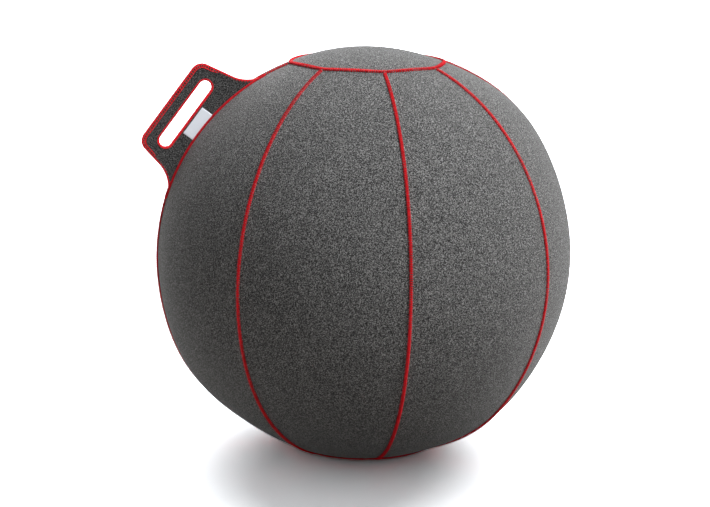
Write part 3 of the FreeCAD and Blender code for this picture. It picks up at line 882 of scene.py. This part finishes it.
def baseSeam(name, sign, replaced):
    # stitching beside the handle's base: over the gore's turned-up edge, on one side of the handle
    arc = meridianArc(handle["around"], *footEnds)
    near, far, top = handle["layer"] + 0.4 * mm, handle["layer"] + 2.3 * mm, seam["height"]
    chance = random.Random(41 + sign)
    count = round(arc[3] * ball["radius"] / (seam["pitch"] * handle["basePitch"]))
    bends = [  # along in halves of the pitch, to the side, height, share of the thread's radius
        (-1, near, 1.5 * mm, 0.9),
        (-1, near + 0.3 * mm, top, 1.1),
        (0, (near + far) / 2, top + 0.1 * mm, 1.15),
        (1, far - 0.2 * mm, top - 0.8 * mm, 1.15),
        (1, far, -0.2 * mm, 1.0),
    ]
    strands = []
    for index in range(count):
        at = (index + 0.5 + chance.uniform(-0.1, 0.1)) * arc[3] / count
        lean = arc[3] / count * 0.5
        strands.append([(onArc(arc, at + along * lean, sign * lateral, height), size)
                        for along, lateral, height, size in bends])
    bm = bmesh.new()
    section = [(near, 0.0), (near, 1.9 * mm), (near + 0.5 * mm, 2.3 * mm), (far - 0.5 * mm, 2.3 * mm),
               (far, 1.8 * mm), (far, -0.4 * mm)]
    verts, edges = rowOf(bm, [onArc(arc, 0, sign * lateral, height) for lateral, height in section])
    bmesh.ops.spin(bm, geom=verts + edges, cent=ball["centre"], axis=arc[2], angle=arc[3], steps=20)
    bmesh.ops.recalc_face_normals(bm, faces=bm.faces)
    thread = strandMesh(name, strands, seam["strand"], threadSides)
    return finishPiece(name, joined(name, [thread, meshFrom(bm, name + "Bed")]),
                       [redThread, redThreadPaintedShade], "ball", replaced)


baseSeam("handleBaseSeamFront", 1, ["handle_base_seam_front"])
baseSeam("handleBaseSeamBack", -1, ["handle_base_seam_back"])
print("handle made")


# blank woven label, from the base seam to the slot's edging

label = {
    "from": -36 * mm, "to": 13 * mm,       # along the seam
    "low": 1.5 * mm, "high": 20.6 * mm,    # above the felt
    "above": 0.3 * mm,                     # clear of the handle's face
    "thickness": 0.5 * mm,
    "crown": 0.25 * mm,
    "unevenness": 0.1 * mm,
    "rows": 24,
}


def labelPiece():
    bm = bmesh.new()
    bmesh.ops.create_grid(bm, x_segments=label["rows"], y_segments=label["rows"], size=0.5)
    for vert in bm.verts:
        x = ball["radius"] + label["low"] + (label["high"] - label["low"]) * (vert.co.x + 0.5)
        y = label["from"] + (label["to"] - label["from"]) * (vert.co.y + 0.5)
        swell = label["crown"] * math.cos(math.pi * vert.co.y)
        swell += label["unevenness"] * noise.noise(vert.co * 6)
        vert.co = (x, y, handle["layer"] + label["above"] + swell)
    made = bmesh.ops.extrude_face_region(bm, geom=bm.faces[:])["geom"]
    raised = [item for item in made if isinstance(item, bmesh.types.BMVert)]
    bmesh.ops.translate(bm, verts=raised, vec=(0, 0, label["thickness"]))
    bmesh.ops.recalc_face_normals(bm, faces=bm.faces)
    bmesh.ops.transform(bm, matrix=handleMatrix, verts=bm.verts)
    piece = finishPiece("wovenLabel", meshFrom(bm, "wovenLabel"), [labelWeave], None, ["label"])
    bendsAtFold(piece)
    return piece


labelPiece()


# zip

def coilPiece(name, sign, replaced):
    arc = meridianArc(zipper["around"], zipper["top"] + zipper["coilEnd"],
                      zipper["bottom"] - zipper["coilEnd"])
    turns = round(arc[3] * ball["radius"] / zipper["coilPitch"])
    perTurn = 8
    points = []
    for step in range(turns * perTurn + 1):
        turn = 2 * math.pi * step / perTurn
        lateral = sign * (zipper["coilSide"] + zipper["coilRadius"] * math.cos(turn))
        height = -zipper["coilDepth"] + zipper["coilRadius"] * zipper["coilFlatness"] * math.sin(turn)
        points.append((onArc(arc, arc[3] * step / (turns * perTurn), lateral, height), 1.0))
    mesh = strandMesh(name, [points], zipper["coilWire"], 0)
    return finishPiece(name, mesh, [zipNylon], "ball", replaced)


coilPiece("zipCoilLeft", -1, ["zip_coil_left"])
coilPiece("zipCoilRight", 1, ["zip_coil_right"])
print("zip made")


# bladder and the carried-over pieces

bladder = {
    "wall": 1.2 * mm,
    "blend": 45 * mm,    # rounding between its flat patch and the ball
    "rib": 0.35 * mm,    # moulded rings that show where the felt is off
    "ribsPer": 9,        # rings in a full turn of the polar angle
    "ribbed": (30, 150),
    "ribSink": 0.4 * mm,
}


def bladderPiece():
    low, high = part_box("bladder")
    radius = high.z - ball["centre"].z
    flat = low.z - ball["centre"].z
    blend = bladder["blend"]
    blendX = math.sqrt((radius - blend) ** 2 - (flat + blend) ** 2)
    leave = math.degrees(math.atan2(blendX, flat + blend))
    points = []
    rows = 150
    for row in range(rows + 1):
        polar = leave * row / rows
        rib = 0
        if bladder["ribbed"][0] < polar < bladder["ribbed"][1]:
            wave = math.cos(math.radians(polar * bladder["ribsPer"]))
            rib = bladder["rib"] * smoothStep(0.55, 0.8, wave)
        points.append(direction(polar, 90) * (radius - bladder["ribSink"] + rib))
    for row in range(1, 9):
        angle = leave + (180 - leave) * row / 8
        points.append(Vector((blendX, 0, flat + blend)) + direction(angle, 90) * blend)
    points.append(Vector((0, 0, flat)))
    bm = spunCover(points, 0, 360, 64)
    bmesh.ops.recalc_face_normals(bm, faces=bm.faces)
    for vert in bm.verts:
        vert.co = ball["centre"] + swollen(vert.co)
    piece = finishPiece("bladderSkin", meshFrom(bm, "bladderSkin"), [bladderVinyl], "ball", ["bladder"])
    wall = piece.modifiers.new("wall", "SOLIDIFY")
    wall.thickness = bladder["wall"]
    wall.offset = -1
    return piece


bladderPiece()

carried = {
    "valve_seat": bladderVinyl, "valve_plug": plugPlastic, "base_ring": ringPlastic,
    "zip_tape_left": zipTapeWeave, "zip_tape_right": zipTapeWeave, "zip_stop_top": zipMetal,
    "zip_stop_bottom": zipMetal, "zip_slider": zipMetal, "zip_pull": zipMetal,
}
for name, material in carried.items():
    mesh = frame["nodes"][name].data
    mesh.materials.clear()
    mesh.materials.append(material)
print("carried pieces dressed")


# stage, light and camera

def backgroundRays(tree):
    # 1 for the rays that show the white surroundings: the camera's, mirrored and passed on
    rays = tree.nodes.new("ShaderNodeLightPath")
    share = rays.outputs["Is Camera Ray"]
    for kind in ("Is Glossy Ray", "Is Transmission Ray"):
        either = tree.nodes.new("ShaderNodeMath")
        either.operation = "MAXIMUM"
        tree.links.new(share, either.inputs[0])
        tree.links.new(rays.outputs[kind], either.inputs[1])
        share = either.outputs[0]
    return share


def stageFloor(brightness):
    bm = bmesh.new()
    bmesh.ops.create_grid(bm, x_segments=1, y_segments=1, size=14)
    mesh = meshFrom(bm, "floor")
    floor = bpy.data.objects.new("floor", mesh)
    bpy.context.scene.collection.objects.link(floor)
    floor.location.z = -0.5 * mm
    material, tree, shader = newMaterial("whiteFloor")
    output = tree.nodes["Material Output"]
    seen, bounced = tree.nodes.new("ShaderNodeBsdfDiffuse"), tree.nodes.new("ShaderNodeBsdfDiffuse")
    seen.inputs["Color"].default_value = grey(brightness, 0.03)
    bounced.inputs["Color"].default_value = grey(0.75, -0.06)
    mix = tree.nodes.new("ShaderNodeMixShader")
    tree.links.new(backgroundRays(tree), mix.inputs["Fac"])
    tree.links.new(bounced.outputs["BSDF"], mix.inputs[1])
    tree.links.new(seen.outputs["BSDF"], mix.inputs[2])
    tree.links.new(mix.outputs["Shader"], output.inputs["Surface"])
    tree.nodes.remove(shader)
    mesh.materials.append(material)
    return floor


def stageWorld(fill):
    world = bpy.data.worlds.new("studio")
    bpy.context.scene.world = world
    world.use_nodes = True
    tree = world.node_tree
    background = tree.nodes["Background"]
    strength = tree.nodes.new("ShaderNodeMix")
    strength.data_type = "FLOAT"
    strength.inputs[2].default_value = fill
    strength.inputs[3].default_value = 1.0
    tree.links.new(backgroundRays(tree), strength.inputs[0])
    tree.links.new(strength.outputs[0], background.inputs["Strength"])
    background.inputs["Color"].default_value = (1, 1, 1, 1)


def sunLamp(name, toward, strength, spread):
    data = bpy.data.lights.new(name, "SUN")
    data.energy, data.angle = strength, math.radians(spread)
    lamp = bpy.data.objects.new(name, data)
    bpy.context.scene.collection.objects.link(lamp)
    lamp.location = ball["centre"] + Vector(toward).normalized() * 3
    lamp.rotation_euler = (-Vector(toward)).to_track_quat("-Z", "Y").to_euler()
    return lamp


def lightsOnly(lamp, name, pieces):
    receivers = bpy.data.collections.new(name)
    for piece in pieces:
        receivers.objects.link(piece)
    lamp.light_linking.receiver_collection = receivers


lights = {
    "fill": 0.14,      # world, away from the camera's view
    "top": 1.9,
    "side": 3.0,
    "behind": 4.4,     # the white surroundings on the ball's rim
    "handle": 1.1,
    "floor": 5.4,      # how white the floor looks, so that the shadow fades out
}
shown = [item for item in bpy.context.scene.collection.all_objects if item.type == "MESH"]
stageFloor(lights["floor"])
stageWorld(lights["fill"])
sunLamp("topLamp", (0.36, 0.82, 1.0), lights["top"], 80)
lightsOnly(sunLamp("sideLamp", (1.4, -0.7, 2.0), lights["side"], 40), "litFromTheSide", shown)
lightsOnly(sunLamp("backLamp", (0.2, 0.95, -0.5), lights["behind"], 130), "litFromBehind", shown)
handlePieces = [item for item in shown
                if item.name in ("handleFeltFront", "handleEdging", "slotEdging", "wovenLabel")]
lightsOnly(sunLamp("handleLamp", (-0.1, -1.0, 0.5), lights["handle"], 30), "litAtTheHandle",
           handlePieces)

camera = {
    "azimuth": -11.964, "elevation": 13.906, "roll": 1.166,
    "distance": 2.5015, "lens": 79.8,
    "shift": (-8.5 / 710, -1.3 / 710),     # pixels of the 710 wide frame
}


def placeCamera():
    away = direction(90 - camera["elevation"], camera["azimuth"])
    data = bpy.data.cameras.new("camera")
    data.lens, data.sensor_width = camera["lens"], 36
    data.shift_x, data.shift_y = camera["shift"]
    data.clip_end = 100
    eye = bpy.data.objects.new("camera", data)
    bpy.context.scene.collection.objects.link(eye)
    right = Vector((0, 0, 1)).cross(away).normalized()
    up = away.cross(right)
    roll = math.radians(camera["roll"])
    tiltedRight = right * math.cos(roll) + up * math.sin(roll)
    tiltedUp = up * math.cos(roll) - right * math.sin(roll)
    turn = Matrix((tiltedRight, tiltedUp, away)).transposed()
    eye.matrix_world = Matrix.Translation(ball["centre"] + away * camera["distance"]) @ turn.to_4x4()
    bpy.context.scene.camera = eye


placeCamera()
bpy.context.scene.view_settings.view_transform = "Standard"
